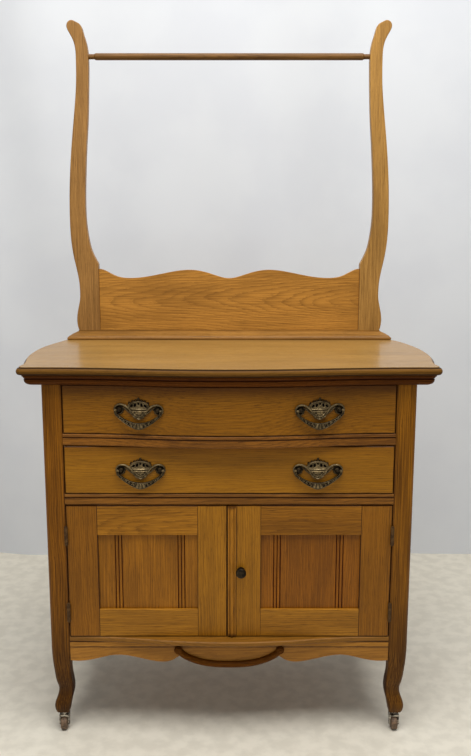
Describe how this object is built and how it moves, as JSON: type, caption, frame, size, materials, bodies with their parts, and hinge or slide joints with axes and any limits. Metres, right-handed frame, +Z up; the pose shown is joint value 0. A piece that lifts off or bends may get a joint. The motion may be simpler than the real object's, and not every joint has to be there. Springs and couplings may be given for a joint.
{
  "type": "washstand",
  "caption": "Oak washstand with bow-front top and drawer, paneled doors, pierced bail pulls, cabriole front legs on castors and a lyre-shaped towel rack.",
  "frame": {"origin": "on the floor under the middle of the bounding box", "axes": "+X to the viewer's right, the doors and drawers face -Y, +Z up"},
  "size_m": [0.8201, 0.455, 1.4575],
  "materials": {
    "oak_front": "golden brown oak under worn varnish",
    "oak_light": "lighter oak under worn varnish",
    "oak_dark": "darker brown oak under varnish",
    "secondary_wood": "bare wood of the inside and back",
    "aged_brass": "stamped brass with a dark patina",
    "castor_steel": "worn nickel plate on steel",
    "castor_wood": "grey-brown turned wood"
  },
  "bodies": {
    "case": {"drawer_rail_upper": "oak_front", "drawer_rail_lower": "oak_front", "top_front_rail": "oak_front", "base_rail": "oak_front", "bottom_board": "oak_front", "front_apron": "oak_front", "front_leg_left": "oak_dark", "front_leg_right": "oak_dark", "rear_legs": "oak_dark", "side_rails": "oak_dark", "side_panels": "oak_dark", "apron_scroll": "oak_dark", "top_board": "oak_light", "bed_moulding": "oak_light", "rack_base": "oak_light", "splashboard": "oak_light", "rack_upright_left": "oak_light", "rack_upright_right": "oak_light", "towel_bar": "oak_light", "back_rails": "secondary_wood", "back_panel": "secondary_wood", "drawer_runners": "secondary_wood", "post_hinge_leaves": "aged_brass", "hinge_pins": "aged_brass", "castor_sockets": "castor_steel"},
    "upper_drawer": {"upper_drawer_front": "oak_front", "upper_drawer_sides": "secondary_wood", "upper_drawer_back": "secondary_wood", "upper_drawer_bottom": "secondary_wood", "upper_pull_plates": "aged_brass", "upper_pull_bolts": "aged_brass"},
    "lower_drawer": {"lower_drawer_front": "oak_front", "lower_drawer_sides": "secondary_wood", "lower_drawer_back": "secondary_wood", "lower_drawer_bottom": "secondary_wood", "lower_pull_plates": "aged_brass", "lower_pull_bolts": "aged_brass"},
    "left_door": {"left_door_stiles": "oak_front", "left_door_rails": "oak_front", "left_door_panel": "oak_front", "left_door_hinge_leaves": "aged_brass"},
    "right_door": {"right_door_stiles": "oak_front", "right_door_rails": "oak_front", "right_door_panel": "oak_front", "right_door_hinge_leaves": "aged_brass", "door_astragal": "oak_front", "knob_plate": "aged_brass"},
    "knob": {"door_knob": "aged_brass"},
    "bail_upper_left": {"bail_upper_left": "aged_brass"},
    "bail_upper_right": {"bail_upper_right": "aged_brass"},
    "bail_lower_left": {"bail_lower_left": "aged_brass"},
    "bail_lower_right": {"bail_lower_right": "aged_brass"},
    "castor_front_left": {"castor_fork_front_left": "castor_steel"},
    "wheel_front_left": {"castor_wheel_front_left": "castor_wood"},
    "castor_front_right": {"castor_fork_front_right": "castor_steel"},
    "wheel_front_right": {"castor_wheel_front_right": "castor_wood"},
    "castor_rear_left": {"castor_fork_rear_left": "castor_steel"},
    "wheel_rear_left": {"castor_wheel_rear_left": "castor_wood"},
    "castor_rear_right": {"castor_fork_rear_right": "castor_steel"},
    "wheel_rear_right": {"castor_wheel_rear_right": "castor_wood"}
  },
  "joints": [
    {"name": "upper_drawer_slide", "type": "slide", "parent": "case", "child": "upper_drawer", "axis": [0, -1, 0], "range_m": [0, 0.3]},
    {"name": "lower_drawer_slide", "type": "slide", "parent": "case", "child": "lower_drawer", "axis": [0, -1, 0], "range_m": [0, 0.3]},
    {"name": "left_door_hinge", "type": "hinge", "parent": "case", "child": "left_door", "pos_m": [-0.317, -0.1783, 0.3465], "axis": [0, 0, -1], "range_deg": [0, 110]},
    {"name": "right_door_hinge", "type": "hinge", "parent": "case", "child": "right_door", "pos_m": [0.317, -0.1783, 0.3465], "axis": [0, 0, 1], "range_deg": [0, 110]},
    {"name": "knob_turn", "type": "hinge", "parent": "right_door", "child": "knob", "pos_m": [0.023, -0.1745, 0.34867], "axis": [0, -1, 0], "range_deg": [0, 90]},
    {"name": "upper_left_bail_pivot", "type": "hinge", "parent": "upper_drawer", "child": "bail_upper_left", "pos_m": [-0.17111, -0.19282, 0.67491], "axis": [-0.9894, 0.1454, 0], "range_deg": [0, 85]},
    {"name": "lower_left_bail_pivot", "type": "hinge", "parent": "lower_drawer", "child": "bail_lower_left", "pos_m": [-0.17, -0.1821, 0.55515], "axis": [-1, 0, 0], "range_deg": [0, 85]},
    {"name": "upper_right_bail_pivot", "type": "hinge", "parent": "upper_drawer", "child": "bail_upper_right", "pos_m": [0.17111, -0.19282, 0.67491], "axis": [-0.9894, -0.1454, 0], "range_deg": [0, 85]},
    {"name": "lower_right_bail_pivot", "type": "hinge", "parent": "lower_drawer", "child": "bail_lower_right", "pos_m": [0.17, -0.1821, 0.55515], "axis": [-1, 0, 0], "range_deg": [0, 85]},
    {"name": "front_left_swivel", "type": "hinge", "parent": "case", "child": "castor_front_left", "pos_m": [-0.33725, -0.155, 0.05], "axis": [0, 0, 1], "continuous": true},
    {"name": "front_left_roll", "type": "hinge", "parent": "castor_front_left", "child": "wheel_front_left", "pos_m": [-0.33725, -0.16, 0.0135], "axis": [1, 0, 0], "continuous": true},
    {"name": "front_right_swivel", "type": "hinge", "parent": "case", "child": "castor_front_right", "pos_m": [0.33725, -0.155, 0.05], "axis": [0, 0, 1], "continuous": true},
    {"name": "front_right_roll", "type": "hinge", "parent": "castor_front_right", "child": "wheel_front_right", "pos_m": [0.33725, -0.16, 0.0135], "axis": [1, 0, 0], "continuous": true},
    {"name": "rear_left_swivel", "type": "hinge", "parent": "case", "child": "castor_rear_left", "pos_m": [-0.34325, 0.204, 0.05], "axis": [0, 0, 1], "continuous": true},
    {"name": "rear_left_roll", "type": "hinge", "parent": "castor_rear_left", "child": "wheel_rear_left", "pos_m": [-0.34325, 0.199, 0.0135], "axis": [1, 0, 0], "continuous": true},
    {"name": "rear_right_swivel", "type": "hinge", "parent": "case", "child": "castor_rear_right", "pos_m": [0.34325, 0.204, 0.05], "axis": [0, 0, 1], "continuous": true},
    {"name": "rear_right_roll", "type": "hinge", "parent": "castor_rear_right", "child": "wheel_rear_right", "pos_m": [0.34325, 0.199, 0.0135], "axis": [1, 0, 0], "continuous": true}
  ]
}
